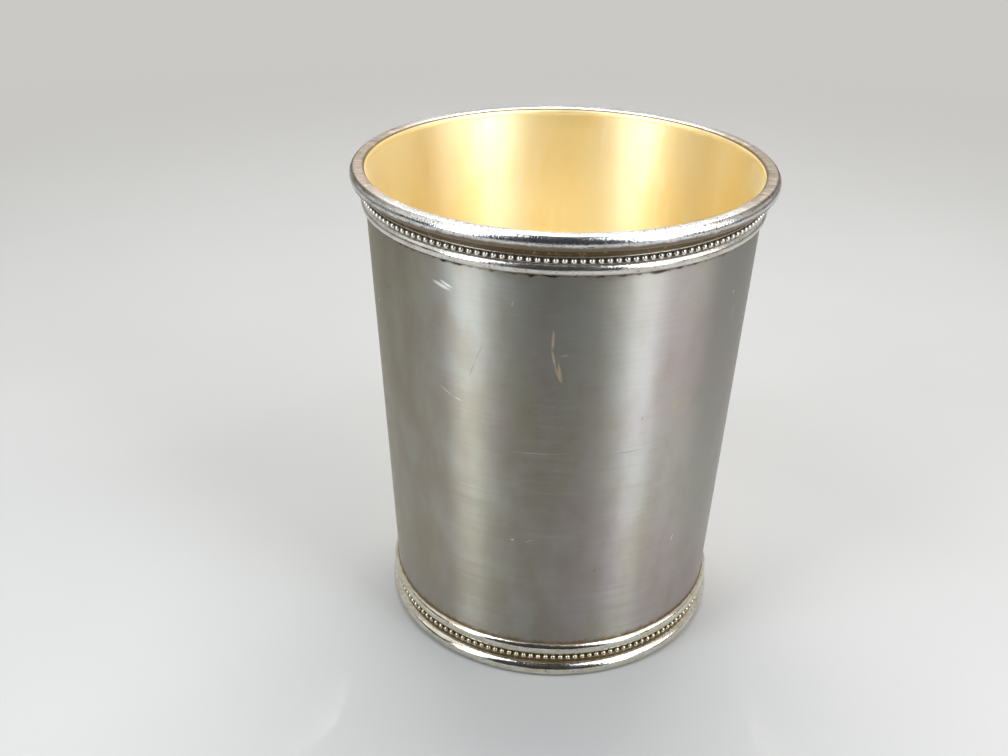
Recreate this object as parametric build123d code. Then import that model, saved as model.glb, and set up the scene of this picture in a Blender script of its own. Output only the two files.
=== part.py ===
from build123d import *
import math
import os

# Julep cup: a tapered sleeve of sheet silver, a soldered-in floor and two beaded wire borders.
# Millimetres. The origin is on the cup's axis, in the plane that the foot stands on, and +Z is up.

# Body
CUP_HEIGHT = 95.25  # lip above the table
LIP_RADIUS = 37.55  # outside of the wall, drawn up to the lip's height
FOOT_RADIUS = 33.0  # outside of the wall, drawn down to the table
WALL_THICKNESS = 0.6
WALL_LIFT = 0.3  # the wall ends this far above the table, so that only the foot ring bears

# Floor and gilding
FLOOR_HEIGHT = 5.0  # underside of the floor above the table
FLOOR_THICKNESS = 0.8
GILT_THICKNESS = 0.1  # the gold wash, drawn thicker than the real layer

# Roll round the lip
ROLL_DIAMETER = 3.1  # round wire that caps the wall's edge
ROLL_FILED = 0.2  # filed off its top

# Beaded strip, the same at the rim and at the foot
BEAD_DIAMETER = 1.1
BEAD_GAP = 0.35  # between one bead and the next
BEAD_PROUD = 0.85  # crown of a bead, beyond the wall
BEAD_CROWN = 0.5  # across the flat crown of a bead
BEAD_SIDES = 6  # a bead is a faceted dome
STRIP_THICKNESS = 0.25
STRIP_MARGIN = 0.1  # strip above and below the beads
SEAM = 0.05  # solder between a beaded strip and the reed beside it

# Rim border
RIM_CHANNEL = 1.3  # from the roll's lowest point down to the beaded strip
RIM_REED_HEIGHT = 2.05
RIM_REED_PROUD = 0.85

# Foot border
FOOT_RING_HEIGHT = 2.9
FOOT_RING_PROUD = 1.6
FOOT_LAND = 0.75  # width of the flat that stands on the table
FOOT_CHANNEL = 0.82  # bare wall between the foot ring and the beaded strip
FOOT_REED_HEIGHT = 2.5
FOOT_REED_PROUD = 1.0

# Places that follow from the sizes above
TAPER = (LIP_RADIUS - FOOT_RADIUS) / CUP_HEIGHT
FLOOR_TOP = FLOOR_HEIGHT + FLOOR_THICKNESS
STRIP_HEIGHT = BEAD_DIAMETER + 2 * STRIP_MARGIN
WALL_TOP = CUP_HEIGHT + ROLL_FILED - ROLL_DIAMETER / 2  # the sheet ends level with the wire's middle
ROLL_BOTTOM = WALL_TOP - ROLL_DIAMETER / 2
RIM_STRIP_BOTTOM = ROLL_BOTTOM - RIM_CHANNEL - STRIP_HEIGHT
RIM_REED_BOTTOM = RIM_STRIP_BOTTOM - SEAM - RIM_REED_HEIGHT
FOOT_STRIP_BOTTOM = FOOT_RING_HEIGHT + FOOT_CHANNEL
FOOT_REED_BOTTOM = FOOT_STRIP_BOTTOM + STRIP_HEIGHT + SEAM


def outside(height):
    """Outside radius of the tapered wall at a height."""
    return FOOT_RADIUS + TAPER * height


def inside(height):
    """Inside radius of the tapered wall at a height."""
    return outside(height) - WALL_THICKNESS


def turned(*outline):
    """Turns a closed outline, drawn as radius and height, round the cup's axis."""
    return revolve(Plane.XZ * make_face(Wire(outline)), Axis.Z)


def turned_polygon(*corners):
    """Turns an outline that has straight sides only."""
    return turned(*Polyline(*corners, close=True).edges())


def cup_wall():
    """The sleeve: sheet of one thickness, straight from the foot up into the lip's wire."""
    return turned_polygon(
        (inside(WALL_LIFT), WALL_LIFT),
        (outside(WALL_LIFT), WALL_LIFT),
        (outside(WALL_TOP), WALL_TOP),
        (inside(WALL_TOP), WALL_TOP),
    )


def floor_disc():
    """The floor: its edge has the wall's taper, so it drops in from the mouth and stops at its height."""
    return turned_polygon(
        (0, FLOOR_HEIGHT),
        (inside(FLOOR_HEIGHT), FLOOR_HEIGHT),
        (inside(FLOOR_TOP), FLOOR_TOP),
        (0, FLOOR_TOP),
    )


def gilt_lining():
    """The gold wash: an even layer over the inside of the wall and the top of the floor."""
    gilt_top = FLOOR_TOP + GILT_THICKNESS
    return turned_polygon(
        (0, FLOOR_TOP),
        (inside(FLOOR_TOP), FLOOR_TOP),
        (inside(WALL_TOP), WALL_TOP),
        (inside(WALL_TOP) - GILT_THICKNESS, WALL_TOP),
        (inside(gilt_top) - GILT_THICKNESS, gilt_top),
        (0, gilt_top),
    )


def rim_roll():
    """The lip's wire: round, filed flat on top, its inner side flush with the wall that its rebate caps."""
    axis = inside(WALL_TOP) + ROLL_DIAMETER / 2
    wire = Pos(axis, WALL_TOP) * Circle(ROLL_DIAMETER / 2)
    filed = Pos(axis, CUP_HEIGHT + ROLL_FILED / 2) * Rectangle(ROLL_DIAMETER, ROLL_FILED)
    capped = make_face(
        Polyline(
            (0, ROLL_BOTTOM),
            (outside(ROLL_BOTTOM), ROLL_BOTTOM),
            (outside(WALL_TOP), WALL_TOP),
            (0, WALL_TOP),
            close=True,
        )
    )
    return revolve(Plane.XZ * (wire - filed - capped), Axis.Z)


def reed_wire(bottom, height, proud):
    """A half-round wire, its flat back lying on the tapered wall."""
    top = bottom + height
    middle = bottom + height / 2
    back = Line((outside(top), top), (outside(bottom), bottom))
    lean = -math.degrees(math.atan(TAPER))
    round_side = EllipticalCenterArc(
        (outside(middle), middle), proud, back.length / 2, start_angle=-90, arc_size=180, rotation=lean
    )
    return turned(round_side, back)


def foot_ring():
    """The foot's wire: round on its outer side, with a flat land underneath that bears on the table."""
    middle = FOOT_RING_HEIGHT / 2
    crown = (outside(middle) + FOOT_RING_PROUD, middle)
    back = Line((outside(FOOT_RING_HEIGHT), FOOT_RING_HEIGHT), (outside(0), 0))
    land = Line(back @ 1, (outside(0) + FOOT_LAND, 0))
    return turned(back, land, ThreePointArc(land @ 1, crown, back @ 0))


def bead_strip(bottom):
    """A flat strip round the wall that carries a close row of beads.

    One bead is modelled on its own length of strip. Its faces, without the two ends, are then turned
    round the cup and sewn into one closed ring.
    """
    top = bottom + STRIP_HEIGHT
    middle = bottom + STRIP_HEIGHT / 2
    count = round(2 * math.pi * outside(middle) / (BEAD_DIAMETER + BEAD_GAP))
    step = 360 / count

    section = Polyline(
        (outside(bottom), bottom),
        (outside(bottom) + STRIP_THICKNESS, bottom),
        (outside(top) + STRIP_THICKNESS, top),
        (outside(top), top),
        close=True,
    )
    strip = extrude(Plane.XZ * make_face(section), BEAD_DIAMETER + BEAD_GAP, both=True)

    rise = BEAD_PROUD - STRIP_THICKNESS
    draft = math.degrees(math.atan((BEAD_DIAMETER - BEAD_CROWN) / 2 / rise))
    seat = Plane((outside(middle) + STRIP_THICKNESS, 0, middle), x_dir=(0, 1, 0), z_dir=(1, 0, -TAPER))
    outline = RegularPolygon(BEAD_DIAMETER / 2, BEAD_SIDES, major_radius=False, rotation=180 / BEAD_SIDES)
    bead = extrude(seat * outline, rise, taper=draft)

    reach = 2 * outside(top)
    spread = reach * math.tan(math.radians(step / 2))
    sector = extrude(make_face(Polyline((0, 0), (reach, -spread), (reach, spread), close=True)), CUP_HEIGHT)
    length = (strip + bead) & sector
    skin = length.faces().sort_by(Axis.Y)[1:-1]
    return Solid(Shell([Rot(0, 0, step * turn) * face for turn in range(count) for face in skin]))


def main():
    """Builds each piece in place and writes it to its own file."""
    pieces = {
        "cup_wall": cup_wall(),
        "floor_disc": floor_disc(),
        "gilt_lining": gilt_lining(),
        "rim_roll": rim_roll(),
        "rim_bead_strip": bead_strip(RIM_STRIP_BOTTOM),
        "rim_reed_wire": reed_wire(RIM_REED_BOTTOM, RIM_REED_HEIGHT, RIM_REED_PROUD),
        "foot_reed_wire": reed_wire(FOOT_REED_BOTTOM, FOOT_REED_HEIGHT, FOOT_REED_PROUD),
        "foot_bead_strip": bead_strip(FOOT_STRIP_BOTTOM),
        "foot_ring": foot_ring(),
    }
    os.makedirs("parts", exist_ok=True)
    for name, piece in pieces.items():
        export_step(piece, f"parts/{name}.step")
        print(f"{name}: {piece.volume:.1f} cubic mm")


main()
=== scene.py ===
"""Julep cup: a tapered beaker of satin sterling, gilt inside, with beaded borders at the lip and the foot."""
import logging
import math
from contextlib import contextmanager
from dataclasses import dataclass
from enum import Enum
from typing import Any, Callable, Iterator

import bmesh
import bpy
from mathutils import Matrix, Vector


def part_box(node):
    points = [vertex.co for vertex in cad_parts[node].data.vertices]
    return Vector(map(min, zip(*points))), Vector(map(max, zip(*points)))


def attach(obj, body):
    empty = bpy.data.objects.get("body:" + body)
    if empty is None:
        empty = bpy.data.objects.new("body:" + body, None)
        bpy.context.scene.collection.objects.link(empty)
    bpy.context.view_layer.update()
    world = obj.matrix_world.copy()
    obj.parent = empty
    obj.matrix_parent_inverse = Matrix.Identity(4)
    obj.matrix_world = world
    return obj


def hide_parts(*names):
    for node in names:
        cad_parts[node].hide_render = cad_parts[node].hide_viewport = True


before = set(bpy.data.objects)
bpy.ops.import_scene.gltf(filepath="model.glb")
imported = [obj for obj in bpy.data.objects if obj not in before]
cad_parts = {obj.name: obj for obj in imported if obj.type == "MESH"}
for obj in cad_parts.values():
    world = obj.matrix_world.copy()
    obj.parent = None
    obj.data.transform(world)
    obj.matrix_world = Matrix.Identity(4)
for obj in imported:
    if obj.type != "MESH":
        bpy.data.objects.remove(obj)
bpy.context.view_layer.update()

log = logging.getLogger("julep_cup")

Edge = bmesh.types.BMEdge
Material = bpy.types.Material
Piece = bpy.types.Object
Point = tuple[float, float, float]
Range = tuple[float, float]  # where a coat starts and where it is whole, in millimetres
Socket = bpy.types.NodeSocket
Span = tuple[float, float]  # a pattern's size in millimetres, round the cup and up it
Tone = str | Socket  # a colour, as a hex value or from a node

MM = 0.001
AXIS = (0.0, 0.0, 1.0)
CENTRE = (0.0, 0.0, 0.0)
UPRIGHT = (math.pi / 2, 0.0, 0.0)  # stands a flat primitive up in the XZ plane
FULL_TURN = 2 * math.pi
FINE = 1e-6
NEAR = 0.1 * MM
TURNS = 288
REED_SIDES = 32
ROLL_SIDES = 64


class Slot(Enum):
    """The record's material slots."""

    SATIN = "satin_silver"
    GOLD = "gold_wash"
    POLISHED = "polished_silver"
    BEADED = "beaded_silver"


class Element(Enum):
    """The mesh elements that a selection picks."""

    VERTS = "VERT"
    EDGES = "EDGE"
    FACES = "FACE"


class MarkTone(Enum):
    """What a mark left on the wall's metal."""

    YELLOW = "yellowed stain"
    DARK = "dark hairline or pit"
    LIGHT = "faint light hairline"
    BRIGHT = "fresh metal in a nick"
    SOLDER = "run of old solder"


@dataclass(frozen=True)
class CupSizes:
    """The cup's main sizes in metres."""

    height: float
    wall_top: float
    wall_radius: float  # outside of the wall at its top
    wall_thickness: float
    taper: float
    roll_axis: float  # radius of the circle that the middle of the lip's wire follows
    lip_border: float  # height of the lip border's lower edge
    foot_border: float  # height of the foot border's upper edge

    @classmethod
    def from_frame(cls) -> "CupSizes":
        """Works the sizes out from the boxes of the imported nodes.

        Returns:
            The sizes that every sub-assembly is drawn from.
        """
        nodes = ("rim_roll", "cup_wall", "gilt_lining", "floor_disc", "foot_reed_wire")
        roll, wall, lining, floor, foot_reed = [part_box(node)[1] for node in nodes]
        taper = (lining.x - floor.x) / (lining.z - floor.z)
        return cls(roll.z, wall.z, wall.x, wall.x - lining.x, taper, (lining.x + roll.x) / 2,
                   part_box("rim_reed_wire")[0].z, foot_reed.z)

    def outside(self, z: float) -> float:
        """Outside radius of the wall at a height."""
        return self.wall_radius + self.taper * (z - self.wall_top)

    def inside(self, z: float) -> float:
        """Inside radius of the wall at a height."""
        return self.outside(z) - self.wall_thickness


def node_middle(node: str) -> float:
    """Height of the middle of a CAD node."""
    low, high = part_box(node)
    return (low.z + high.z) / 2


def linear(hex_colour: str) -> tuple[float, float, float, float]:
    """Turns an sRGB hex colour into linear RGBA.

    Args:
        hex_colour: Six hex digits after a hash.

    Returns:
        Linear red, green, blue and an alpha of one.
    """
    digits = hex_colour.lstrip("#")
    channels = [int(digits[i:i + 2], 16) / 255 for i in (0, 2, 4)]
    red, green, blue = [c / 12.92 if c <= 0.04045 else ((c + 0.055) / 1.055) ** 2.4 for c in channels]
    return (red, green, blue, 1.0)


def new_piece(name: str, add_primitive: Callable[..., Any], **settings: Any) -> Piece:
    """Adds a primitive with nothing else selected and moves its place into its mesh.

    Args:
        name: The piece's name.
        add_primitive: The operator that adds it.
        settings: The primitive's size and place.

    Returns:
        The new piece, at the origin, unturned and unscaled.
    """
    bpy.ops.object.select_all(action="DESELECT")
    add_primitive(**settings)
    piece = bpy.context.active_object
    piece.name = name
    piece.data.name = name
    bpy.ops.object.transform_apply(location=True, rotation=True, scale=True)
    return piece


def make_only_choice(piece: Piece) -> None:
    """Makes a piece the active and only selected object.

    Args:
        piece: The piece.
    """
    bpy.ops.object.select_all(action="DESELECT")
    bpy.context.view_layer.objects.active = piece
    piece.select_set(True)


@contextmanager
def editing(piece: Piece) -> Iterator[None]:
    """Keeps one piece in edit mode, with everything on it selected at first.

    Args:
        piece: The piece to edit.

    Returns:
        Nothing to hold; edit mode ends with the block.
    """
    make_only_choice(piece)
    bpy.ops.object.mode_set(mode="EDIT")
    bpy.ops.mesh.select_mode(type=Element.VERTS.value)
    bpy.ops.mesh.select_all(action="SELECT")
    yield
    bpy.ops.object.mode_set(mode="OBJECT")


def pick(piece: Piece, element: Element, test: Callable[[Any], bool]) -> None:
    """Selects the elements of a piece in edit mode that pass a test, and only those.

    Args:
        piece: The piece that is being edited.
        element: Which elements are tested.
        test: Says yes to a vertex, edge or face.
    """
    bpy.ops.mesh.select_mode(type=element.value)
    bpy.ops.mesh.select_all(action="DESELECT")
    mesh = bmesh.from_edit_mesh(piece.data)
    groups = {Element.VERTS: mesh.verts, Element.EDGES: mesh.edges, Element.FACES: mesh.faces}
    for item in groups[element]:
        if test(item):
            item.select_set(True)
    mesh.select_flush_mode()
    bmesh.update_edit_mesh(piece.data)


def rises(edge: Edge) -> bool:
    """Tells whether an edge runs up the cup."""
    return abs(edge.verts[0].co.z - edge.verts[1].co.z) > MM


def join_open_ends(piece: Piece) -> None:
    """Closes a section in edit mode with an edge between its two open ends."""
    pick(piece, Element.VERTS, lambda vert: len(vert.link_edges) == 1)
    bpy.ops.mesh.edge_face_add()


def cut_at_wall(piece: Piece, place: Point, taper: float) -> None:
    """Cuts a section in edit mode along the wall's line and closes its back.

    Args:
        piece: The piece whose section is being edited.
        place: A point on the outside of the wall.
        taper: How much the wall's radius grows with height.
    """
    bpy.ops.mesh.select_all(action="SELECT")
    bpy.ops.mesh.bisect(plane_co=place, plane_no=(1.0, 0.0, -taper), clear_inner=True, threshold=FINE)
    join_open_ends(piece)


def merge_and_face_out() -> None:
    """Merges the doubles of the piece in edit mode and points its faces outwards."""
    bpy.ops.mesh.select_all(action="SELECT")
    bpy.ops.mesh.remove_doubles(threshold=FINE)
    bpy.ops.mesh.normals_make_consistent(inside=False)


def turn_round_axis(piece: Piece) -> None:
    """Spins a section in the XZ plane right round the cup's axis and closes the ring.

    Args:
        piece: The piece that is still a section.
    """
    with editing(piece):
        bpy.ops.mesh.spin(steps=TURNS, angle=FULL_TURN, center=CENTRE, axis=AXIS)
        merge_and_face_out()


def apply_modifier(piece: Piece, kind: str, **settings: Any) -> None:
    """Adds a modifier to a piece and applies it.

    Args:
        piece: The piece to change.
        kind: The modifier's type.
        settings: The modifier's properties by name.
    """
    make_only_choice(piece)
    modifier = piece.modifiers.new(kind.lower(), kind)
    for key, value in settings.items():
        setattr(modifier, key, value)
    bpy.ops.object.modifier_apply(modifier=modifier.name)


def make_uneven(piece: Piece, size: float, depth: float, group: str = "") -> None:
    """Gives a piece the slight unevenness of hand finishing.

    Args:
        piece: The piece to change.
        size: How wide its high and low places are.
        depth: How far apart they lie.
        group: The vertex group that is moved, where some of the piece stays.
    """
    clouds = bpy.data.textures.new(f"{piece.name}_unevenness", "CLOUDS")
    clouds.noise_scale = size
    apply_modifier(piece, "DISPLACE", texture=clouds, strength=depth, mid_level=0.5, texture_coords="LOCAL",
                   vertex_group=group)


def shade(piece: Piece, angle: float = 40.0) -> None:
    """Shades a piece smooth, with edges sharper than the angle in degrees kept."""
    make_only_choice(piece)
    bpy.ops.object.shade_smooth_by_angle(angle=math.radians(angle))


def seat(piece: Piece, node: str, finish: Material) -> Piece:
    """Puts a finished piece in its CAD node's place and dresses it.

    Args:
        piece: The finished piece.
        node: The CAD node that it stands for.
        finish: Its material.

    Returns:
        The same piece.
    """
    piece.data.materials.append(finish)
    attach(piece, "root")
    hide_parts(node)
    return piece


# node recipes: kind and settings; FADE and SPREAD take a value, the range that they read and the range
# that they give, which is from zero to one where none is written
FADE = ("MapRange", {"interpolation_type": "SMOOTHSTEP"})
SPREAD = ("MapRange", {})
TIMES = ("Math", {"operation": "MULTIPLY"})
TIMES_PLUS = ("Math", {"operation": "MULTIPLY_ADD"})
MINUS = ("Math", {"operation": "SUBTRACT"})
LARGER = ("Math", {"operation": "MAXIMUM"})
UNSIGNED = ("Math", {"operation": "ABSOLUTE"})
LENGTH = ("VectorMath", {"operation": "LENGTH"})
NOISE = ("TexNoise", {})
MIX_COLOURS = (6, 7)  # the inputs of a Mix node that hold its two colours
MIX_RESULT = 2


class NodeSheet:
    """A node tree that is drawn from nothing."""

    def __init__(self, tree: bpy.types.NodeTree) -> None:
        """Clears the tree."""
        self.tree = tree
        self.tree.nodes.clear()

    def add(self, kind: str, settings: dict[str, Any] | None = None, *values: Any,
            named: dict[Any, Any] | None = None, output: int | str = 0) -> Socket | None:
        """Adds a node, sets it up and links it.

        Args:
            kind: The node's type, without the words that all shader nodes share.
            settings: The node's properties by name.
            values: A value or a socket for each input, from the first one on.
            named: The same for inputs by name or number.
            output: Which output is wanted.

        Returns:
            That output's socket, where the node has one.
        """
        node = self.tree.nodes.new("ShaderNode" + kind)
        for key, value in (settings or {}).items():
            setattr(node, key, value)
        for key, value in (dict(enumerate(values)) | (named or {})).items():
            if isinstance(value, Socket):
                self.tree.links.new(value, node.inputs[key])
            else:
                node.inputs[key].default_value = value
        return node.outputs[output] if node.outputs else None

    def coats(self, under: Tone, *layers: tuple[Socket | float, Tone], blend: str = "MIX") -> Socket:
        """Lays coats of colour over one another.

        Args:
            under: The lowest colour.
            layers: Where each coat shows and its colour, the lowest first.
            blend: How a coat joins the colour under it.

        Returns:
            The colour on top.
        """
        colour = under
        for share, coat in layers:
            pair = [linear(tone) if isinstance(tone, str) else tone for tone in (colour, coat)]
            colour = self.add("Mix", {"data_type": "RGBA", "blend_type": blend}, share,
                              named=dict(zip(MIX_COLOURS, pair)), output=MIX_RESULT)
        return colour


class FinishSheet(NodeSheet):
    """One material's node tree, with the cup's own coordinates in millimetres ready to use."""

    crusted_metallic = 0.3  # how metallic a crust of tarnish still looks
    quarter_turn = 0.25  # turns the highlights' stretch from round the cup to up it

    def __init__(self, name: str, sizes: CupSizes) -> None:
        """Starts the material.

        Args:
            name: What the material is and how its surface was made.
            sizes: The cup's sizes, for the distance from the wall.
        """
        self.material = bpy.data.materials.new(name)
        self.material.use_nodes = True
        super().__init__(self.material.node_tree)
        self.sizes = sizes
        place = self.add("TexCoord", output="Object")
        self.point = self.add("VectorMath", {"operation": "MULTIPLY"}, place, (1 / MM, 1 / MM, 1 / MM))
        axes = [self.add("SeparateXYZ", None, self.point, output=axis) for axis in "XYZ"]
        self.across, inward, self.height = axes
        level = self.add("CombineXYZ", None, self.across, inward)
        self.radius = self.add(*LENGTH, level, output="Value")
        front = self.add(*TIMES, inward, -1.0)
        self.azimuth = self.add("Math", {"operation": "ARCTAN2"}, self.across, front)
        rise = self.add(*MINUS, self.height, sizes.wall_top / MM)
        wall = self.add(*TIMES_PLUS, rise, sizes.taper, sizes.wall_radius / MM)
        self.proud = self.add(*MINUS, self.radius, wall)

    def clouds(self, patch: Span, detail: float = 2.0) -> Socket:
        """A soft cloud pattern, about one half on average.

        Args:
            patch: The size of its patches.
            detail: How many finer layers it has.

        Returns:
            The pattern's value.
        """
        width, height = patch
        place = self.add("Mapping", None, self.point, CENTRE, CENTRE, (1 / width, 1 / width, 1 / height))
        return self.add(*NOISE, place, named={"Scale": 1.0, "Detail": detail})

    def close(self, colour: Socket, roughness: Socket, relief: Socket, depth: float,
              anisotropic: float = 0.0, tarnish: Socket | None = None) -> Material:
        """Ends the tree in a metal shader.

        Args:
            colour: Base colour.
            roughness: Roughness.
            relief: Height pattern.
            depth: The height that a pattern value of one stands for.
            anisotropic: Stretch of the highlights up the wall, across the polishing lines.
            tarnish: Where a crust of tarnish hides the bare metal, or None.

        Returns:
            The finished material.
        """
        bump = self.add("Bump", None, named={"Strength": 1.0, "Distance": depth, "Height": relief})
        inputs = {"Base Color": colour, "Metallic": 1.0, "Roughness": roughness, "Normal": bump}
        if tarnish is not None:
            inputs["Metallic"] = self.add(*SPREAD, tarnish, 0.0, 1.0, 1.0, self.crusted_metallic)
        if anisotropic:
            inputs["Tangent"] = self.add("Tangent", {"direction_type": "RADIAL", "axis": "Z"})
            inputs["Anisotropic"] = anisotropic
            inputs["Anisotropic Rotation"] = self.quarter_turn
        metal = self.add("BsdfPrincipled", None, named=inputs)
        self.add("OutputMaterial", None, metal)
        return self.material


@dataclass(frozen=True)
class SurfaceMark:
    """One mark on the wall, seen from outside."""

    azimuth: float  # degrees from the front, positive to the right
    height: float  # millimetres above the table
    length: float  # millimetres
    width: float  # millimetres
    lean: float  # degrees from level, positive where it rises to the right


WALL_MARKS = {
    MarkTone.YELLOW: (
        (-1.1, 75.7, 4.6, 0.60, 87), (-0.8, 72.1, 3.8, 0.55, 101), (0.6, 69.0, 4.0, 0.60, 110),
        (1.0, 69.5, 5.0, 0.50, 100), (36.6, 59.9, 2.0, 0.90, 35)),
    MarkTone.DARK: (
        (22.2, 52.2, 6.1, 0.28, -1), (-23.7, 67.9, 3.8, 0.26, 70), (-21.5, 71.5, 4.0, 0.22, 66),
        (14.7, 25.7, 0.9, 0.55, 70), (25.6, 58.8, 0.7, 0.50, 80), (-56.3, 77.4, 1.8, 0.50, -27),
        (172.0, 24.7, 4.4, 0.24, 8)),
    MarkTone.LIGHT: (
        (-11.9, 81.9, 1.6, 0.30, 76), (-6.4, 32.8, 2.1, 0.26, 27), (2.2, 72.8, 1.4, 0.35, 12),
        (-4.2, 52.6, 12.0, 0.24, 2), (-32.8, 61.9, 3.4, 0.30, -25), (-28.7, 61.0, 2.2, 0.26, -10),
        (59.0, 73.9, 3.6, 0.30, 97), (148.0, 60.7, 5.2, 0.26, 24), (108.0, 69.7, 2.4, 0.28, 62)),
    MarkTone.BRIGHT: (
        (-32.6, 82.6, 4.6, 0.90, -13), (-31.0, 83.1, 3.2, 0.55, -20), (43.4, 28.4, 1.6, 0.22, 67),
        (-11.7, 32.6, 0.8, 0.35, 10), (-67.0, 71.9, 0.8, 0.55, 0), (57.1, 78.4, 1.0, 0.40, 40),
        (-139.0, 43.7, 3.0, 0.30, -38)),
    MarkTone.SOLDER: (
        (26.0, 87.3, 3.6, 0.85, 3), (-7.0, 87.3, 1.2, 0.60, 20)),
}


@dataclass(frozen=True)
class SatinSterling:
    """Sterling sheet, satin-finished round the axis and dulled by age.

    The eye sees a soft warm grey with long highlights up the wall. Thin tarnish clouds it green to the left,
    pink to the right and brown lower down. It has hairlines and nicks, and brown beside the soldered wires,
    where no polish reaches.
    """

    base: str = "#ABAAA3"
    pink: str = "#ABA2A1"
    green: str = "#A4A18C"
    straw: str = "#998F80"
    brown: str = "#6E5A3C"
    solder: str = "#2E2418"
    fresh: str = "#EFEDE6"
    dark: str = "#6A655C"
    stain: str = "#B8A26C"
    tint_patch: Span = (9.0, 34.0)
    broad_patch: Span = (24.0, 30.0)
    straw_fleck: Span = (5.0, 9.0)
    satin_line: Span = (26.0, 0.3)  # the lines are a few hundredths apart, drawn coarser so that they show
    grain: Span = (0.5, 0.5)
    crust_spot: Span = (0.8, 0.5)
    crust_edge: Span = (1.4, 1.4)
    crust_wander: float = 1.6
    foot_crust: Range = (1.9, 0.7)  # above the foot border
    lip_crust: Range = (0.25, 0.85)  # above the lip border's lower edge, as the solder's ends are
    solder_edge: Span = (2.6, 0.9)
    solder_wander: float = 2.4
    solder_low: Range = (0.92, 1.30)
    solder_high: Range = (0.5, 0.1)
    pink_to_right: float = 0.006  # what the pattern gains in a millimetre
    straw_to_right: float = -0.0052
    straw_upwards: float = -0.0022
    roughness: float = 0.49
    held_smooth: float = 0.17  # how much less rough it is beside the foot, where the cup is held
    anisotropic: float = 0.96
    relief: float = 0.004 * MM

    def material(self, sizes: CupSizes) -> Material:
        """Draws the finish.

        Args:
            sizes: The cup's sizes.

        Returns:
            The wall's material.
        """
        sheet = FinishSheet("sterling_sheet_satin_turned", sizes)
        lines = sheet.clouds(self.satin_line)
        stain = self.border_tarnish(sheet)
        marks = {tone: self.marks(sheet, tone) for tone in MarkTone}
        metal = self.tinted_metal(sheet, lines)
        spot = sheet.add(*FADE, sheet.clouds(self.crust_spot), 0.60, 0.70, 0.0, 0.7)
        soil = sheet.coats(self.brown, (spot, self.stain))
        layers = [(stain, soil), (self.solder_line(sheet), self.solder)]
        shades = {MarkTone.YELLOW: (self.stain, 0.55), MarkTone.DARK: (self.dark, 0.45),
                  MarkTone.LIGHT: (self.fresh, 0.40), MarkTone.BRIGHT: (self.fresh, 0.95),
                  MarkTone.SOLDER: (self.solder, 0.90)}
        for mark, (colour, strength) in shades.items():
            layers.append((sheet.add(*TIMES, marks[mark], strength), colour))
        rough = sheet.add(*SPREAD, lines, 0.25, 0.75, self.roughness - 0.05, self.roughness + 0.05)
        rough = sheet.add(*TIMES_PLUS, stain, 0.15, rough)
        top, foot = sizes.lip_border / MM, sizes.foot_border / MM
        held = sheet.add(*SPREAD, sheet.height, top, foot, 0.0, self.held_smooth)
        rough = sheet.add(*MINUS, rough, held)
        relief = sheet.add(*TIMES_PLUS, sheet.clouds(self.grain, 1.0), 0.5, lines)
        relief = sheet.add(*TIMES_PLUS, marks[MarkTone.BRIGHT], -6.0, relief)
        dried = sheet.add(*TIMES, marks[MarkTone.YELLOW], 0.6)
        crust = sheet.add(*LARGER, stain, dried)
        return sheet.close(sheet.coats(metal, *layers), rough, relief, self.relief, self.anisotropic, crust)

    def tinted_metal(self, sheet: FinishSheet, lines: Socket) -> Socket:
        """Draws the bare metal under its thin tarnish.

        Args:
            sheet: The finish's sheet.
            lines: The satin lines.

        Returns:
            The metal's colour.
        """
        pink = sheet.clouds(self.tint_patch, 3.0)
        pink = sheet.add(*TIMES_PLUS, sheet.across, self.pink_to_right, pink)
        pink = sheet.add(*FADE, pink, 0.30, 0.70)
        tinted = sheet.add(*FADE, sheet.clouds(self.broad_patch), 0.30, 0.70)
        fleck = sheet.clouds(self.straw_fleck, 3.0)
        fleck = sheet.add(*TIMES_PLUS, sheet.height, self.straw_upwards, fleck)
        fleck = sheet.add(*TIMES_PLUS, sheet.across, self.straw_to_right, fleck)
        fleck = sheet.add(*FADE, fleck, 0.20, 0.68, 0.0, 0.62)
        tints = sheet.coats(self.green, (pink, self.pink))
        tone = sheet.add(*SPREAD, lines, 0.3, 0.7, 0.95, 1.04)
        grey = sheet.add("CombineColor", None, tone, tone, tone)
        metal = sheet.coats(self.base, (tinted, tints), (fleck, self.straw))
        return sheet.coats(metal, (1.0, grey), blend="MULTIPLY")

    def border_tarnish(self, sheet: FinishSheet) -> Socket:
        """Draws the brown tarnish on the wall beside and between the soldered wires.

        Args:
            sheet: The finish's sheet.

        Returns:
            How much of the tarnish shows.
        """
        low = sheet.sizes.foot_border / MM
        high = sheet.sizes.lip_border / MM
        edge = sheet.add(*TIMES_PLUS, sheet.clouds(self.crust_edge), self.crust_wander, sheet.height)
        at_foot = sheet.add(*FADE, edge, *[low + rise for rise in self.foot_crust])
        at_lip = sheet.add(*FADE, edge, *[high + rise for rise in self.lip_crust])
        return sheet.add(*LARGER, at_foot, at_lip)

    def solder_line(self, sheet: FinishSheet) -> Socket:
        """Draws the dark ragged line of old solder under the lip border.

        Args:
            sheet: The finish's sheet.

        Returns:
            One on the line and zero off it.
        """
        high = sheet.sizes.lip_border / MM
        edge = sheet.clouds(self.solder_edge, 3.0)
        edge = sheet.add(*TIMES_PLUS, edge, self.solder_wander, sheet.height)
        above = sheet.add(*FADE, edge, *[high + rise for rise in self.solder_low])
        below = sheet.add(*FADE, sheet.height, *[high + rise for rise in self.solder_high])
        return sheet.add(*TIMES, above, below)

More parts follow.
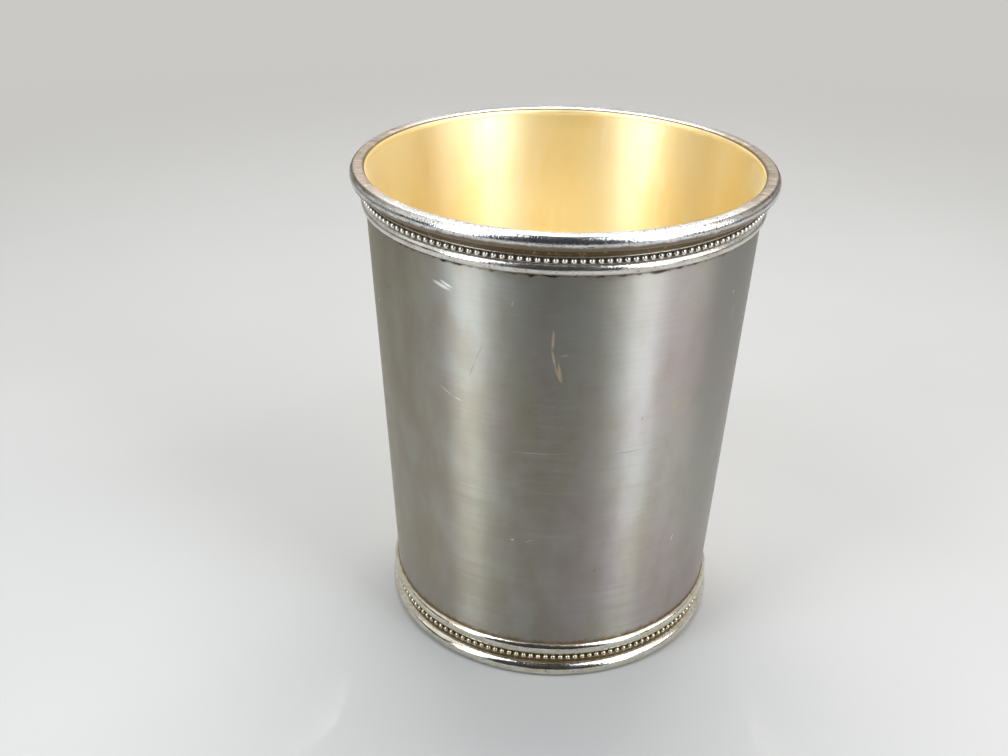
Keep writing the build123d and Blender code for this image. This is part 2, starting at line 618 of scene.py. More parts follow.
    def marks(self, sheet: FinishSheet, tone: MarkTone) -> Socket:
        """Draws all the wall's marks of one tone.

        Args:
            sheet: The finish's sheet.
            tone: The marks to draw.

        Returns:
            One on such a mark and zero off it.
        """
        arc = sheet.add(*TIMES, sheet.azimuth, sheet.radius)
        flat = sheet.add("CombineXYZ", None, arc, sheet.height)
        total = 0.0
        for row in WALL_MARKS[tone]:
            mark = SurfaceMark(*row)
            along = math.radians(mark.azimuth) * sheet.sizes.outside(mark.height * MM) / MM
            local = sheet.add("Mapping", {"vector_type": "TEXTURE"}, flat, (along, mark.height, 0.0),
                              (0.0, 0.0, math.radians(mark.lean)), (mark.length / 2, mark.width / 2, 1.0))
            reach = sheet.add(*LENGTH, local, output="Value")
            shape = sheet.add(*FADE, reach, 1.1, 0.35)
            total = sheet.add(*LARGER, total, shape)
        return total


@dataclass(frozen=True)
class PolishedSterling:
    """Drawn sterling wire, soldered on and polished by handling.

    The eye sees bright clear reflections with small pits and rub marks, and brown left along the edges that
    lie against the wall.
    """

    name: str
    base: str
    dull: str
    brown: str = "#6B5635"
    pit: str = "#6E6658"
    smear: Span = (3.5, 1.2)
    rub: Span = (6.0, 0.35)
    pits: Span = (0.4, 0.4)  # about 0.15 mm in the drawn wire, drawn coarser so that they show
    crust_edge: Span = (0.9, 0.9)
    crust_wander: float = -0.45
    crust_reach: Range = (0.30, -0.12)  # out from the wall
    roughness: float = 0.18
    relief: float = 0.012 * MM

    def material(self, sizes: CupSizes) -> Material:
        """Draws the finish.

        Args:
            sizes: The cup's sizes.

        Returns:
            The wires' material.
        """
        sheet = FinishSheet(self.name, sizes)
        smear = sheet.clouds(self.smear, 3.0)
        rub = sheet.clouds(self.rub, 3.0)
        pits = sheet.clouds(self.pits)
        dull = sheet.add(*FADE, smear, 0.42, 0.68)
        pit = sheet.add(*FADE, pits, 0.60, 0.70, 0.0, 0.75)
        edge = sheet.clouds(self.crust_edge, 3.0)
        edge = sheet.add(*TIMES_PLUS, edge, self.crust_wander, sheet.proud)
        crevice = sheet.add(*FADE, edge, *self.crust_reach)
        colour = sheet.coats(self.base, (dull, self.dull), (pit, self.pit), (crevice, self.brown))
        rough = sheet.add(*SPREAD, rub, 0.3, 0.75, self.roughness - 0.04, self.roughness + 0.12)
        rough = sheet.add(*TIMES_PLUS, crevice, 0.35, rough)
        relief = sheet.add(*TIMES_PLUS, pits, -1.8, rub)
        relief = sheet.add(*TIMES_PLUS, smear, 3.0, relief)
        return sheet.close(colour, rough, relief, self.relief, tarnish=crevice)


@dataclass(frozen=True)
class LipSterling:
    """The lip's wire: drawn and polished, its top filed level and scratched by stacking and use.

    The eye sees bright reflections broken by small pits. To the left and right of the middle the top is a
    dull
    beige with short scratches across it: the scratches are wear, and the dull beige there is partly a painted
    reflection of dim surroundings. It is brown below. A dark line on the inner side is partly the dark joint
    and partly painted shade in the gap by the gilding, and the gold wash is carried a little way up the inner
    side.
    """

    base: str = "#E0E0E0"
    dull: str = "#CECBC5"
    pit: str = "#6B6863"
    # painted reflection of dim surroundings on the filed top at the sides, over real wear
    chafed_dim_reflection: str = "#6C6255"
    worn: str = "#968C7E"
    soil: str = "#4D4438"
    brown: str = "#6A5A45"
    # painted shade in the gap on the inner side by the gilding, together with the dark joint
    seam_and_shade: str = "#6B5A3E"
    gilt: str = "#F9E5AE"
    smear: Span = (2.6, 1.0)
    pits: Span = (0.35, 0.35)  # about 0.15 mm in the drawn wire, drawn coarser so that they show
    scratch: Span = (0.35, 4.0)  # file scratches are about 0.1 mm apart, drawn coarser so that they show
    crust_edge: Span = (1.6, 0.8)
    crust_wander: float = 0.8
    crust_reach: Range = (0.4, -0.2)  # above the wall's edge
    chafe_and_dim_wander: float = 0.6
    chafe_and_dim_reach: Range = (-0.35, 0.05)  # above the filed top
    dim_reflection_sides: Range = (24.0, 35.0)  # left or right of the middle, where the filed top is painted dull, partly as a reflection of dim surroundings
    inner_side: Range = (-0.70, -0.85)  # out from the middle of the wire
    seam_and_shade_reach: Range = (1.25, 1.10)  # above the wall's edge, as the gilding's is
    gilt_reach: Range = (1.00, 0.90)
    roughness: float = 0.16
    relief: float = 0.016 * MM

    def material(self, sizes: CupSizes) -> Material:
        """Draws the finish.

        Args:
            sizes: The cup's sizes.

        Returns:
            The lip wire's material.
        """
        sheet = FinishSheet("sterling_lip_wire_filed_dim_sides_painted", sizes)
        smear = sheet.clouds(self.smear, 3.0)
        pits = sheet.clouds(self.pits)
        dull = sheet.add(*FADE, smear, 0.42, 0.68)
        pit = sheet.add(*FADE, pits, 0.55, 0.68, 0.0, 0.85)
        # the dull top: real scratch wear, with a painted reflection of dim surroundings at the sides
        chafe_and_dim_reflection = self.chafed_and_dim_top(sheet, smear)
        scratches = self.scratches(sheet)
        worn = sheet.add(*FADE, scratches, 0.45, 0.70)
        dirty = sheet.add(*FADE, smear, 0.50, 0.70, 0.0, 0.8)
        # colour of the dull top: a painted dim reflection, with real scratches and dirt over it
        flat = sheet.coats(self.chafed_dim_reflection, (worn, self.worn), (dirty, self.soil))
        axis = sizes.roll_axis / MM
        edge = sizes.wall_top / MM
        inner = sheet.add(*FADE, sheet.radius, *[axis + out for out in self.inner_side])
        # dark line on the inner side above the gilding: partly the dark joint, partly painted shade in the
        # gap
        seam_and_shade = sheet.add(*FADE, sheet.height, *[edge + rise for rise in self.seam_and_shade_reach])
        seam_and_shade = sheet.add(*TIMES, seam_and_shade, inner)
        gilt = sheet.add(*FADE, sheet.height, *[edge + rise for rise in self.gilt_reach])
        gilt = sheet.add(*TIMES, gilt, inner)
        crevice = self.crevice(sheet)
        colour = sheet.coats(self.base, (dull, self.dull), (pit, self.pit), (chafe_and_dim_reflection, flat), (seam_and_shade, self.seam_and_shade),
                             (gilt, self.gilt), (crevice, self.brown))
        rough = sheet.add(*SPREAD, smear, 0.3, 0.7, self.roughness - 0.03, self.roughness + 0.08)
        for mask in (chafe_and_dim_reflection, seam_and_shade, crevice):
            rough = sheet.add(*TIMES_PLUS, mask, 0.26, rough)
        relief = sheet.add(*TIMES_PLUS, pits, -2.6, smear)
        ground = sheet.add(*TIMES, scratches, chafe_and_dim_reflection)
        relief = sheet.add(*TIMES_PLUS, ground, 1.5, relief)
        return sheet.close(colour, rough, relief, self.relief, tarnish=crevice)

    def scratches(self, sheet: FinishSheet) -> Socket:
        """Draws the short scratches that run across the wire.

        Args:
            sheet: The finish's sheet.

        Returns:
            The scratches' pattern.
        """
        spacing, length = self.scratch
        along = sheet.add(*TIMES, sheet.azimuth, sheet.sizes.roll_axis / MM / spacing)
        across = sheet.add(*TIMES, sheet.radius, 1 / length)
        place = sheet.add("CombineXYZ", None, along, across)
        return sheet.add(*NOISE, place, named={"Scale": 1.0, "Detail": 2.0})

    def chafed_and_dim_top(self, sheet: FinishSheet, wander: Socket) -> Socket:
        """Finds where the top is painted dull: wear, and at the sides a painted reflection of dim
        surroundings.

        Args:
            sheet: The finish's sheet.
            wander: A pattern that makes the chafed edge uneven.

        Returns:
            One on the dull top, most at the sides, and zero off it.
        """
        top = sheet.sizes.height / MM
        level = sheet.add(*TIMES_PLUS, wander, self.chafe_and_dim_wander, sheet.height)
        high = sheet.add(*FADE, level, *[top + rise for rise in self.chafe_and_dim_reach])
        aside = sheet.add(*UNSIGNED, sheet.across)
        # strongest to the left and right of the middle, where the dullness stands in for a reflection of dim
        # surroundings
        dim_reflection_sides = sheet.add(*FADE, aside, *self.dim_reflection_sides, 0.12, 1.0)
        return sheet.add(*TIMES, high, dim_reflection_sides)

    def crevice(self, sheet: FinishSheet) -> Socket:
        """Draws the brown tarnish on the wire's lower half, which no cloth reaches.

        Args:
            sheet: The finish's sheet.

        Returns:
            How much of the tarnish shows.
        """
        edge = sheet.sizes.wall_top / MM
        level = sheet.clouds(self.crust_edge, 3.0)
        level = sheet.add(*TIMES_PLUS, level, self.crust_wander, sheet.height)
        return sheet.add(*FADE, level, *[edge + rise for rise in self.crust_reach], 0.0, 0.95)


@dataclass(frozen=True)
class BeadedSterling:
    """Beaded wire, struck in a die, with tarnish left between the beads.

    The eye sees bright rubbed crowns on dark brown ground.
    """

    name: str
    node: str  # the CAD node whose middle is the height of the beads' centres
    crown: str
    flank: str
    ground: str = "#3A2C1A"
    crust_edge: Span = (1.1, 1.1)
    crust_wander: float = -0.24
    flank_reach: Range = (0.20, 0.34)  # out from the wall, as the crown's is
    crown_reach: Range = (0.30, 0.50)
    rubbed_reach: Range = (0.50, 0.62)  # up or down from the beads' centres
    ground_roughness: float = 0.55
    roughness: float = 0.24
    relief: float = 0.02 * MM

    def material(self, sizes: CupSizes) -> Material:
        """Draws the finish.

        Args:
            sizes: The cup's sizes.

        Returns:
            The beaded strip's material.
        """
        sheet = FinishSheet(self.name, sizes)
        wander = sheet.clouds(self.crust_edge, 3.0)
        edge = sheet.add(*TIMES_PLUS, wander, self.crust_wander, sheet.proud)
        low = sheet.add(*FADE, edge, *self.flank_reach)
        high = sheet.add(*FADE, edge, *self.crown_reach)
        away = sheet.add(*MINUS, sheet.height, node_middle(self.node) / MM)
        away = sheet.add(*UNSIGNED, away)
        rubbed = sheet.add(*FADE, away, *self.rubbed_reach, 0.0, 0.85)
        low = sheet.add(*LARGER, low, rubbed)
        high = sheet.add(*LARGER, high, rubbed)
        colour = sheet.coats(self.ground, (low, self.flank), (high, self.crown))
        rough = sheet.add(*SPREAD, high, 0.0, 1.0, self.ground_roughness, self.roughness)
        crust = sheet.add(*MINUS, 1.0, low)
        return sheet.close(colour, rough, wander, self.relief, tarnish=crust)


@dataclass(frozen=True)
class GoldWash:
    """Thin gilding over satin silver, wiped dull inside the cup.

    The eye sees a soft pale gold that deepens to amber where it mirrors itself, with faint wiping lines.
    """

    base: str = "#FDEFC6"
    deep: str = "#FAE4A6"
    pale: str = "#FEF5DC"
    patch: Span = (10.0, 22.0)
    satin_line: Span = (24.0, 0.5)
    wipe: Span = (2.2, 20.0)
    roughness: float = 0.51
    anisotropic: float = 0.88
    relief: float = 0.005 * MM

    def material(self, sizes: CupSizes) -> Material:
        """Draws the finish.

        Args:
            sizes: The cup's sizes.

        Returns:
            The lining's material.
        """
        sheet = FinishSheet("gold_wash_satin_wiped", sizes)
        lines = sheet.clouds(self.satin_line)
        wipes = sheet.clouds(self.wipe, 3.0)
        deep = sheet.add(*FADE, sheet.clouds(self.patch, 3.0), 0.42, 0.68, 0.0, 0.7)
        thin = sheet.add(*FADE, wipes, 0.55, 0.75, 0.0, 0.5)
        colour = sheet.coats(self.base, (deep, self.deep), (thin, self.pale))
        rough = sheet.add(*SPREAD, lines, 0.25, 0.75, self.roughness - 0.05, self.roughness + 0.05)
        relief = sheet.add(*TIMES_PLUS, wipes, 0.8, lines)
        return sheet.close(colour, rough, relief, self.relief, self.anisotropic)


@dataclass(frozen=True)
class TurnedSterling:
    """The floor's underside, turned on a lathe and never polished.

    The eye sees fine rings round the centre and a dull grey that browns towards the foot.
    """

    base: str = "#AFA99F"
    ring: str = "#98917F"
    brown: str = "#7A6A4C"
    ring_step: float = 0.7  # millimetres; the tool's feed is about 0.2, drawn coarser so that the rings show
    soil: Span = (7.0, 7.0)
    soil_wander: float = 14.0
    soil_reach: Range = (33.0, 44.0)  # out from the axis
    roughness: float = 0.4
    relief: float = 0.02 * MM

    def material(self, sizes: CupSizes) -> Material:
        """Draws the finish.

        Args:
            sizes: The cup's sizes.

        Returns:
            The floor's material.
        """
        sheet = FinishSheet("sterling_floor_lathe_turned", sizes)
        step = sheet.add(*TIMES, sheet.radius, 1 / self.ring_step)
        place = sheet.add("CombineXYZ", None, step)
        rings = sheet.add(*NOISE, place, named={"Scale": 1.0, "Detail": 2.0})
        lined = sheet.add(*FADE, rings, 0.4, 0.65)
        reach = sheet.add(*TIMES_PLUS, sheet.clouds(self.soil, 3.0), self.soil_wander, sheet.radius)
        dirty = sheet.add(*FADE, reach, *self.soil_reach)
        colour = sheet.coats(self.base, (lined, self.ring), (dirty, self.brown))
        rough = sheet.add(*SPREAD, rings, 0.3, 0.7, self.roughness - 0.06, self.roughness + 0.08)
        return sheet.close(colour, rough, rings, self.relief)


@dataclass
class CupBody:
    """The tapered wall and the floor let into it."""

    sizes: CupSizes
    satin: SatinSterling = SatinSterling()
    turned: TurnedSterling = TurnedSterling()
    edge_ease: float = 0.16 * MM
    floor_ease: float = 0.2 * MM
    unevenness: float = 0.05 * MM
    unevenness_size: float = 13 * MM
    rings: int = 30
    # width and rise in millimetres of each turned step under the floor, from its rim inwards
    turned_steps: tuple[tuple[float, float], ...] = (
        (1.6, 0.0), (0.4, 0.12), (10.0, 0.03), (0.3, -0.05), (12.0, 0.02), (6.0, 0.03))

    def build_wall(self) -> Piece:
        """Models the wall: an open cone, ringed, made slightly uneven, thickened inwards and eased below.

        Returns:
            The wall.
        """
        low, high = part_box("cup_wall")
        wall = new_piece("tapered_wall", bpy.ops.mesh.primitive_cone_add, vertices=TURNS,
                         radius1=self.sizes.outside(low.z), radius2=high.x, depth=high.z - low.z,
                         end_fill_type="NOTHING", location=(0.0, 0.0, node_middle("cup_wall")))
        with editing(wall):
            pick(wall, Element.EDGES, rises)
            bpy.ops.mesh.subdivide(number_cuts=self.rings)
        make_uneven(wall, self.unevenness_size, self.unevenness)
        with editing(wall):
            for level in (low.z, high.z):
                pick(wall, Element.VERTS, lambda vert: abs(vert.co.z - level) < MM)
                bpy.ops.transform.resize(value=(1.0, 1.0, 0.0), center_override=(0.0, 0.0, level))
        apply_modifier(wall, "SOLIDIFY", thickness=self.sizes.wall_thickness, offset=-1.0,
                       use_even_offset=True)
        with editing(wall):
            pick(wall, Element.VERTS, lambda vert: vert.co.z > high.z - NEAR)
            bpy.ops.transform.resize(value=(1.0, 1.0, 0.0), center_override=(0.0, 0.0, high.z))
            pick(wall, Element.EDGES, lambda edge: self.is_lower_edge(edge, low.z))
            bpy.ops.mesh.bevel(offset=self.edge_ease, segments=3, affect="EDGES")
        shade(wall)
        return wall

    def is_lower_edge(self, edge: Edge, bottom: float) -> bool:
        """Tells whether an edge runs round the wall's lower end, inside or outside."""
        radii = [vert.co.xy.length for vert in edge.verts]
        return abs(radii[0] - radii[1]) < NEAR and all(vert.co.z < bottom + 2 * NEAR for vert in edge.verts)

    def build_floor(self) -> Piece:
        """Models the floor: a disc with eased edges and turned steps on its underside.

        Returns:
            The floor.
        """
        low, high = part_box("floor_disc")
        floor = new_piece("soldered_floor", bpy.ops.mesh.primitive_cylinder_add, vertices=TURNS,
                          radius=self.sizes.inside(low.z), depth=high.z - low.z, end_fill_type="NGON",
                          location=(0.0, 0.0, node_middle("floor_disc")))
        with editing(floor):
            pick(floor, Element.FACES, lambda face: face.normal.z < -0.9)
            for width, rise in self.turned_steps:
                bpy.ops.mesh.inset(thickness=width * MM, depth=-rise * MM)
            bpy.ops.mesh.poke()
            pick(floor, Element.EDGES, self.is_floor_rim)
            bpy.ops.mesh.bevel(offset=self.floor_ease, segments=2, affect="EDGES")
        shade(floor, 25.0)
        return floor

    def is_floor_rim(self, edge: Edge) -> bool:
        """Tells whether an edge runs round the floor's upper or lower rim."""
        level = abs(edge.verts[0].co.z - edge.verts[1].co.z) < FINE
        return level and all(vert.co.xy.length > self.sizes.inside(0.0) - NEAR for vert in edge.verts)

    def build(self) -> list[Piece]:
        """Models and dresses the body.

        Returns:
            The wall and the floor.
        """
        return [seat(self.build_wall(), "cup_wall", self.satin.material(self.sizes)),
                seat(self.build_floor(), "floor_disc", self.turned.material(self.sizes))]


@dataclass
class GiltInside:
    """The gilt face of the cup's inside: floor and wall in one skin."""

    sizes: CupSizes
    gold: GoldWash = GoldWash()
    layer: float = 0.1 * MM  # from the wall's inside to the gilt face
    skin: float = 0.07 * MM
    lip_step: float = 0.01 * MM  # what is left of the layer where it meets the lip's wire
    corner: float = 1.2 * MM
    rings: int = 24
    floor_rings: int = 5
    unevenness: float = 0.04 * MM
    unevenness_size: float = 15 * MM

    def build_skin(self) -> Piece:
        """Models the lining: a disc ringed by insets, its edge drawn up to the lip, eased at the corner.

        Returns:
            The lining.
        """
        low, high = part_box("gilt_lining")
        floor_z = low.z + self.layer
        top_z = high.z
        bottom = self.sizes.inside(floor_z) - self.layer
        top = self.sizes.inside(top_z) - self.layer
        skin = new_piece("gilt_lining_skin", bpy.ops.mesh.primitive_circle_add, vertices=TURNS,
                         radius=bottom, fill_type="NGON", location=(0.0, 0.0, floor_z))
        with editing(skin):
            pick(skin, Element.EDGES, lambda edge: edge.is_boundary)
            bpy.ops.mesh.extrude_edges_move(TRANSFORM_OT_translate={"value": (0.0, 0.0, top_z - floor_z)})
            self.widen_top(top / bottom, top_z)
            pick(skin, Element.EDGES, rises)
            bpy.ops.mesh.subdivide(number_cuts=self.rings)
            pick(skin, Element.FACES, lambda face: abs(face.normal.z) > 0.9)
            for _ in range(self.floor_rings):
                bpy.ops.mesh.inset(thickness=bottom / (self.floor_rings + 1))
            bpy.ops.mesh.poke()
            pick(skin, Element.EDGES, lambda edge: self.is_corner(edge, floor_z, bottom))
            bpy.ops.mesh.bevel(offset=self.corner, segments=5, affect="EDGES")
            merge_and_face_out()
            pick(skin, Element.VERTS, lambda vert: vert.co.z > top_z - FINE)
            self.widen_top((self.sizes.inside(top_z) - self.lip_step) / top, top_z)
            pick(skin, Element.VERTS, lambda vert: vert.co.z < top_z - FINE)
            bpy.ops.object.vertex_group_assign_new()
        make_uneven(skin, self.unevenness_size, self.unevenness, skin.vertex_groups[0].name)
        apply_modifier(skin, "SOLIDIFY", thickness=self.skin, offset=1.0)
        shade(skin)
        return skin

    def widen_top(self, share: float, top_z: float) -> None:
        """Widens the selected ring at the top."""
        bpy.ops.transform.resize(value=(share, share, 1.0), center_override=(0.0, 0.0, top_z))

    def is_corner(self, edge: Edge, floor_z: float, bottom: float) -> bool:
        """Tells whether an edge runs round the corner between the floor and the wall."""
        return all(abs(v.co.z - floor_z) < FINE and v.co.xy.length > bottom - NEAR for v in edge.verts)

    def build(self) -> list[Piece]:
        """Models and dresses the lining.

        Returns:
            The piece, in a list.
        """
        return [seat(self.build_skin(), "gilt_lining", self.gold.material(self.sizes))]


@dataclass
class ReedWire:
    """A half-round wire that goes round the wall."""

    sizes: CupSizes
    node: str

    def build(self, name: str) -> Piece:
        """Models the wire: a round section, flattened to its height, cut at the wall and turned round.

        Args:
            name: The piece's name.

        Returns:
            The wire.
        """
        low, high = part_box(self.node)
        half = (high.z - low.z) / 2
        middle = node_middle(self.node)
        back = self.sizes.outside(middle)
        place = (back, 0.0, middle)
        wire = new_piece(name, bpy.ops.mesh.primitive_circle_add, vertices=REED_SIDES, radius=half,
                         location=place, rotation=UPRIGHT)
        with editing(wire):
            bpy.ops.transform.resize(value=((high.x - back) / half, 1.0, 1.0), center_override=place)
            cut_at_wall(wire, place, self.sizes.taper)
        turn_round_axis(wire)
        shade(wire)
        return wire


@dataclass
class BeadedStrip:
    """A struck strip of round beads that goes round the wall."""

    sizes: CupSizes
    node: str
    bead_diameter: float = 1.1 * MM
    bead_gap: float = 0.35 * MM
    bead_sink: float = 0.05 * MM  # how far a bead reaches into the strip
    bead_segments: int = 10
    bead_rings: int = 8
    strip_thickness: float = 0.30 * MM
    strip_ease: float = 0.07 * MM

    def build(self, name: str) -> Piece:
        """Models the strip and one bead, copies the bead round it and joins them.

        Args:
            name: The piece's name.

        Returns:
            The beaded strip.
        """
        middle = node_middle(self.node)
        wall = self.sizes.outside(middle)
        strip = self.build_ground(name, (wall, 0.0, middle))
        bead = self.build_bead(wall, middle)
        count = round(FULL_TURN * wall / (self.bead_diameter + self.bead_gap))
        with editing(bead):
            bpy.ops.mesh.spin(steps=count - 1, angle=FULL_TURN * (count - 1) / count, dupli=True,
                              center=CENTRE, axis=AXIS)
        make_only_choice(strip)
        bead.select_set(True)
        bpy.ops.object.join()
        shade(strip, 60.0)
        return strip

    def build_ground(self, name: str, place: Point) -> Piece:
        """Models the flat strip under the beads.

        Args:
            name: The piece's name.
            place: The middle of its back, on the wall.

        Returns:
            The strip, without beads.
        """
        low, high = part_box(self.node)
        width = high.z - low.z
        depth = 2 * self.strip_thickness / width
        strip = new_piece(name, bpy.ops.mesh.primitive_plane_add, size=width, location=place,
                          rotation=UPRIGHT)
        with editing(strip):
            bpy.ops.transform.resize(value=(depth, 1.0, 1.0), center_override=place)
            bpy.ops.mesh.delete(type="ONLY_FACE")
            cut_at_wall(strip, place, self.sizes.taper)
            pick(strip, Element.VERTS, lambda vert: vert.co.x > place[0] + 0.5 * self.strip_thickness)
            bpy.ops.mesh.bevel(offset=self.strip_ease, segments=2, affect="VERTICES")
        turn_round_axis(strip)
        return strip

    def build_bead(self, wall: float, middle: float) -> Piece:
        """Models one bead: a small ball cut off where it meets the strip.

        Args:
            wall: Wall radius at the bead.
            middle: Height of its centre.

        Returns:
            The bead.
        """
        radius = self.bead_diameter / 2
        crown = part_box(self.node)[1].x
        bead = new_piece("bead", bpy.ops.mesh.primitive_uv_sphere_add, segments=self.bead_segments,
                         ring_count=self.bead_rings, radius=radius, location=(crown - radius, 0.0, middle),
                         rotation=(0.0, math.pi / 2, 0.0))
        cut = wall + self.strip_thickness - self.bead_sink
        with editing(bead):
            bpy.ops.mesh.bisect(plane_co=(cut, 0.0, middle), plane_no=(1.0, 0.0, 0.0), clear_inner=True,
                                use_fill=True, threshold=FINE)
        return bead


@dataclass
class LipBorder:
    """The roll round the lip, the beaded strip and the reed under it."""

    sizes: CupSizes
    roll: LipSterling = LipSterling()
    wire: PolishedSterling = PolishedSterling("sterling_wire_drawn_polished", "#DAD7D1", "#C8C2B6")
    beads: BeadedSterling = BeadedSterling("sterling_beading_struck_lip", "rim_bead_strip", "#E2DED5",
                                           "#B5A88C")
    flat_ease: float = 0.45 * MM

    def build_roll(self) -> Piece:
        """Models the roll: a round section, filed on top, rebated to cap the wall's edge, turned round.

        Returns:
            The roll.
        """
        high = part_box("rim_roll")[1]
        axis = self.sizes.roll_axis
        level = self.sizes.wall_top
        corner = (self.sizes.outside(level), 0.0, level)
        step = (self.sizes.wall_thickness, 0.0, 0.0)
        roll = new_piece("lip_roll", bpy.ops.mesh.primitive_circle_add, vertices=ROLL_SIDES,
                         radius=high.x - axis, location=(axis, 0.0, level), rotation=UPRIGHT)
        with editing(roll):
            bpy.ops.mesh.bisect(plane_co=high, plane_no=AXIS, clear_outer=True, threshold=FINE)
            join_open_ends(roll)
            pick(roll, Element.VERTS, lambda vert: vert.co.z > high.z - FINE)
            bpy.ops.mesh.bevel(offset=self.flat_ease, segments=5, affect="VERTICES")
            pick(roll, Element.VERTS, lambda vert: vert.co.z < level - FINE)
            bpy.ops.mesh.bisect(plane_co=corner, plane_no=(1.0, 0.0, -self.sizes.taper), clear_inner=True,
                                threshold=FINE)
            pick(roll, Element.VERTS, lambda vert: len(vert.link_edges) == 1 and vert.co.z > level - FINE)
            bpy.ops.mesh.extrude_vertices_move(TRANSFORM_OT_translate={"value": step})
            join_open_ends(roll)
        turn_round_axis(roll)
        shade(roll)
        return roll

    def build(self) -> list[Piece]:
        """Models and dresses the border.

        Returns:
            The roll, the beaded strip and the reed.
        """
        beading = BeadedStrip(self.sizes, "rim_bead_strip")
        reed = ReedWire(self.sizes, "rim_reed_wire")
        return [seat(self.build_roll(), "rim_roll", self.roll.material(self.sizes)),
                seat(beading.build("lip_beading"), beading.node,
                     self.beads.material(self.sizes)),
                seat(reed.build("lip_reed"), reed.node, self.wire.material(self.sizes))]


@dataclass
class FootBorder:
    """The reed, the beaded strip and the ring that the cup stands on."""

    sizes: CupSizes
    wire: PolishedSterling = PolishedSterling("sterling_wire_polished_yellowed", "#DFDBD0", "#D0C8B3",
                                              roughness=0.12)
    # crowns and flanks browner and darker than at the lip: yellowed tarnish, darkened further as a painted
    # reflection of dark surroundings
    beads: BeadedSterling = BeadedSterling("sterling_beading_struck_foot", "foot_bead_strip", "#D6CAAC",
                                           "#A5926A")
    land: float = 0.75 * MM

    def build_ring(self) -> Piece:
        """Models the ring: a round section through land, crown and wall, cut at both and turned round.

        Returns:
            The ring.
        """
        low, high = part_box("foot_ring")
        middle = node_middle("foot_ring")
        back = self.sizes.outside(middle)
        land_edge = Vector((self.sizes.outside(low.z) + self.land, low.z))
        crown = Vector((high.x, middle))
        upper = Vector((self.sizes.outside(high.z), high.z))
        centre, radius = self.circle_through(land_edge, crown, upper)
        ring = new_piece("foot_ring_wire", bpy.ops.mesh.primitive_circle_add, vertices=ROLL_SIDES,
                         radius=radius, location=(centre.x, 0.0, centre.y), rotation=UPRIGHT)
        with editing(ring):
            bpy.ops.mesh.bisect(plane_co=(back, 0.0, low.z), plane_no=AXIS, clear_inner=True, threshold=FINE)
            join_open_ends(ring)
            cut_at_wall(ring, (back, 0.0, middle), self.sizes.taper)
        turn_round_axis(ring)
        shade(ring)
        return ring

    def circle_through(self, first: Vector, second: Vector, third: Vector) -> tuple[Vector, float]:
        """Finds the circle through three points of a section.

        Args:
            first: One point, as radius and height.
            second: The next one.
            third: The last one.

        Returns:
            The circle's centre and its radius.
        """
        rows = Matrix((second - first, third - first))
        sums = Vector([(point.length_squared - first.length_squared) / 2 for point in (second, third)])
        centre = rows.inverted() @ sums
        return centre, (first - centre).length

    def build(self) -> list[Piece]:
        """Models and dresses the border.

        Returns:
            The reed, the beaded strip and the ring.
        """
        reed = ReedWire(self.sizes, "foot_reed_wire")
        beading = BeadedStrip(self.sizes, "foot_bead_strip")
        polished = self.wire.material(self.sizes)
        return [seat(reed.build("foot_reed"), reed.node, polished),
                seat(beading.build("foot_beading"), beading.node,
                     self.beads.material(self.sizes)),
                seat(self.build_ring(), "foot_ring", polished)]


@dataclass(frozen=True)
class SoftBox:
    """A rectangular studio lamp aimed at the cup."""

    name: str
    azimuth: float  # degrees from the camera's side, positive to the right
    elevation: float  # degrees above the table
    distance: float
    width: float
    length: float
    radiance: float
    colour: str
    grid: float = 180.0  # degrees that its light spreads over
    aim: float = 0.5  # what share of the cup's height it is aimed at

    def build(self, sizes: CupSizes) -> None:
        """Hangs the lamp.

        Args:
            sizes: The cup's sizes.
        """
        target = Vector((0.0, 0.0, self.aim * sizes.height))
        turn = math.radians(self.azimuth)
        tilt = math.radians(self.elevation)
        towards = Vector((math.sin(turn) * math.cos(tilt), -math.cos(turn) * math.cos(tilt), math.sin(tilt)))
        bpy.ops.object.light_add(type="AREA", location=target + towards * self.distance)
        lamp = bpy.context.active_object
        lamp.name = self.name
        lamp.rotation_euler = towards.to_track_quat("Z", "Y").to_euler()
        lamp.data.shape = "RECTANGLE"
        lamp.data.size = self.width
        lamp.data.size_y = self.length
        lamp.data.energy = 4 * self.radiance * self.width * self.length
        lamp.data.color = linear(self.colour)[:3]
        lamp.data.spread = math.radians(self.grid)


